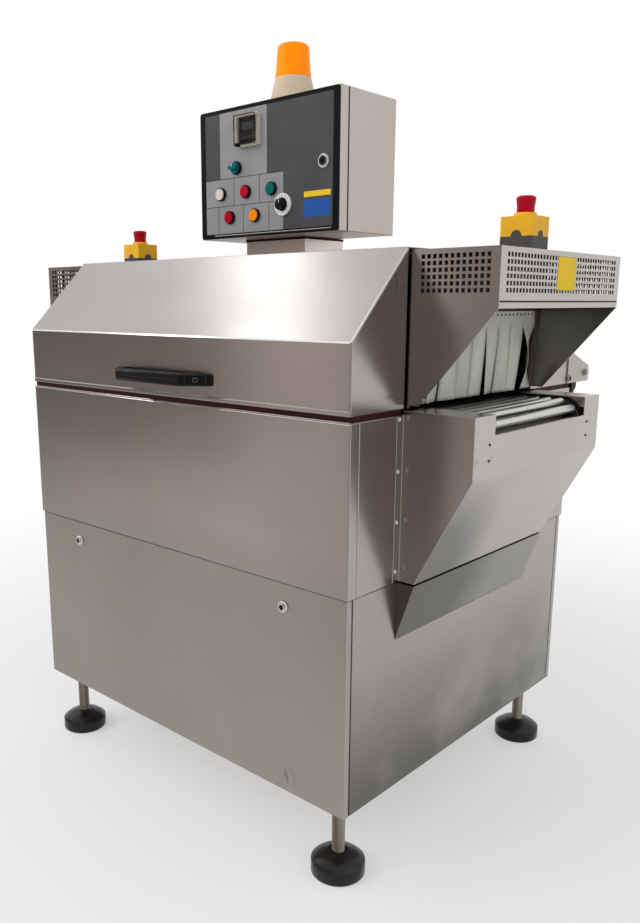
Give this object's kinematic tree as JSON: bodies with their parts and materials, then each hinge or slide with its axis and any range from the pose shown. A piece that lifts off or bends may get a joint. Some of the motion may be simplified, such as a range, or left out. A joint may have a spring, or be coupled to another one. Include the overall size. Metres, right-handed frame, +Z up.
{
  "type": "heat shrink tunnel",
  "caption": "Stainless heat shrink tunnel on levelling feet: rod conveyor, guarded mouths with strip curtains, lift-up front cover, control box on a column and beacon.",
  "frame": {"origin": "on the floor, under the middle of the bounding box", "axes": "+X along the conveyor to the right-hand mouth, -Y to the operator's side with the cover handle, +Z up"},
  "size_m": [1.352, 1.007, 1.723],
  "materials": {
    "stainless": "brushed",
    "guard_steel": "satin",
    "housing_steel": "satin",
    "zinc_steel": "zinc plated, dull",
    "black_plastic": "moulded",
    "seal_rubber": "silicone",
    "curtain_strip": "coated glass cloth",
    "rod_tube": "worn satin",
    "chain_steel": "oiled",
    "panel_grey": "satin film",
    "bezel_metal": "bright",
    "instrument_black": "clear cover over black",
    "white_lens": "lens",
    "red_plastic": "moulded",
    "green_plastic": "moulded",
    "teal_plastic": "moulded",
    "yellow_plastic": "moulded",
    "grey_plastic": "moulded",
    "beige_plastic": "moulded",
    "amber_lens": "ribbed lens"
  },
  "bodies": {
    "tunnel": {"foot_pads": "black_plastic", "foot_spindles": "zinc_steel", "base_frame": "housing_steel", "base_front_panel": "stainless", "base_rear_panel": "stainless", "base_end_panels": "stainless", "tank_front_wall": "stainless", "tank_rear_wall": "stainless", "tank_end_walls": "stainless", "tank_floor": "housing_steel", "gasket": "seal_rubber", "chute_sides": "stainless", "chute_end_plates": "stainless", "drip_deflectors": "stainless", "conveyor_rods": "rod_tube", "conveyor_chains": "chain_steel", "chain_guides": "black_plastic", "conveyor_shafts": "chain_steel", "upper_end_walls": "housing_steel", "upper_rear_wall": "stainless", "upper_roof": "stainless", "roof_hinges": "zinc_steel", "guard_front_plates": "guard_steel", "guard_rear_plates": "guard_steel", "guard_end_plates": "guard_steel", "guard_tops": "guard_steel", "right_curtain": "curtain_strip", "left_curtain": "curtain_strip", "rear_brackets": "guard_steel", "rear_stops": "black_plastic", "control_column": "housing_steel", "control_box": "stainless", "box_hinges": "zinc_steel", "beacon_foot": "beige_plastic", "beacon_lens": "amber_lens", "stop_bases": "grey_plastic", "stop_covers": "yellow_plastic"},
    "front_cover": {"cover_skin": "stainless", "cover_ends": "stainless", "cover_handle": "black_plastic", "cover_hinges": "zinc_steel"},
    "box_door": {"control_door": "stainless", "control_panel": "panel_grey", "door_hinges": "zinc_steel", "instrument": "instrument_black", "control_bezels": "bezel_metal", "pilot_lenses": "white_lens", "door_lock": "bezel_metal"},
    "right_stop": {"right_stop_button": "red_plastic"},
    "left_stop": {"left_stop_button": "red_plastic"},
    "panel_stop": {"stop_button": "red_plastic"},
    "panel_start": {"start_button": "green_plastic"},
    "panel_reset": {"reset_button": "red_plastic"},
    "selector": {"selector_knob": "teal_plastic"},
    "dial": {"dial_knob": "black_plastic"}
  },
  "joints": [
    {"name": "cover_lift", "type": "hinge", "parent": "tunnel", "child": "front_cover", "pos_m": [0, -0.156, 1.23], "axis": [-1, 0, 0], "range_deg": [0, 90]},
    {"name": "door_swing", "type": "hinge", "parent": "tunnel", "child": "box_door", "pos_m": [-0.287, -0.055, 1.434], "axis": [0, 0, 1], "range_deg": [-110, 0]},
    {"name": "right_stop_press", "type": "slide", "parent": "tunnel", "child": "right_stop", "axis": [0, 0, -1], "range_m": [0, 0.004], "stiffness_N_per_m": 2500, "springref_m": -0.004},
    {"name": "left_stop_press", "type": "slide", "parent": "tunnel", "child": "left_stop", "axis": [0, 0, -1], "range_m": [0, 0.004], "stiffness_N_per_m": 2500, "springref_m": -0.004},
    {"name": "stop_press", "type": "slide", "parent": "box_door", "child": "panel_stop", "axis": [0, 1, 0], "range_m": [0, 0.003], "stiffness_N_per_m": 1500, "springref_m": -0.003},
    {"name": "start_press", "type": "slide", "parent": "box_door", "child": "panel_start", "axis": [0, 1, 0], "range_m": [0, 0.003], "stiffness_N_per_m": 1500, "springref_m": -0.003},
    {"name": "reset_press", "type": "slide", "parent": "box_door", "child": "panel_reset", "axis": [0, 1, 0], "range_m": [0, 0.003], "stiffness_N_per_m": 1500, "springref_m": -0.003},
    {"name": "selector_turn", "type": "hinge", "parent": "box_door", "child": "selector", "pos_m": [-0.152, -0.085, 1.445], "axis": [0, -1, 0], "range_deg": [-45, 45]},
    {"name": "dial_turn", "type": "hinge", "parent": "box_door", "child": "dial", "pos_m": [0.001, -0.085, 1.35], "axis": [0, -1, 0], "range_deg": [-135, 135]}
  ]
}
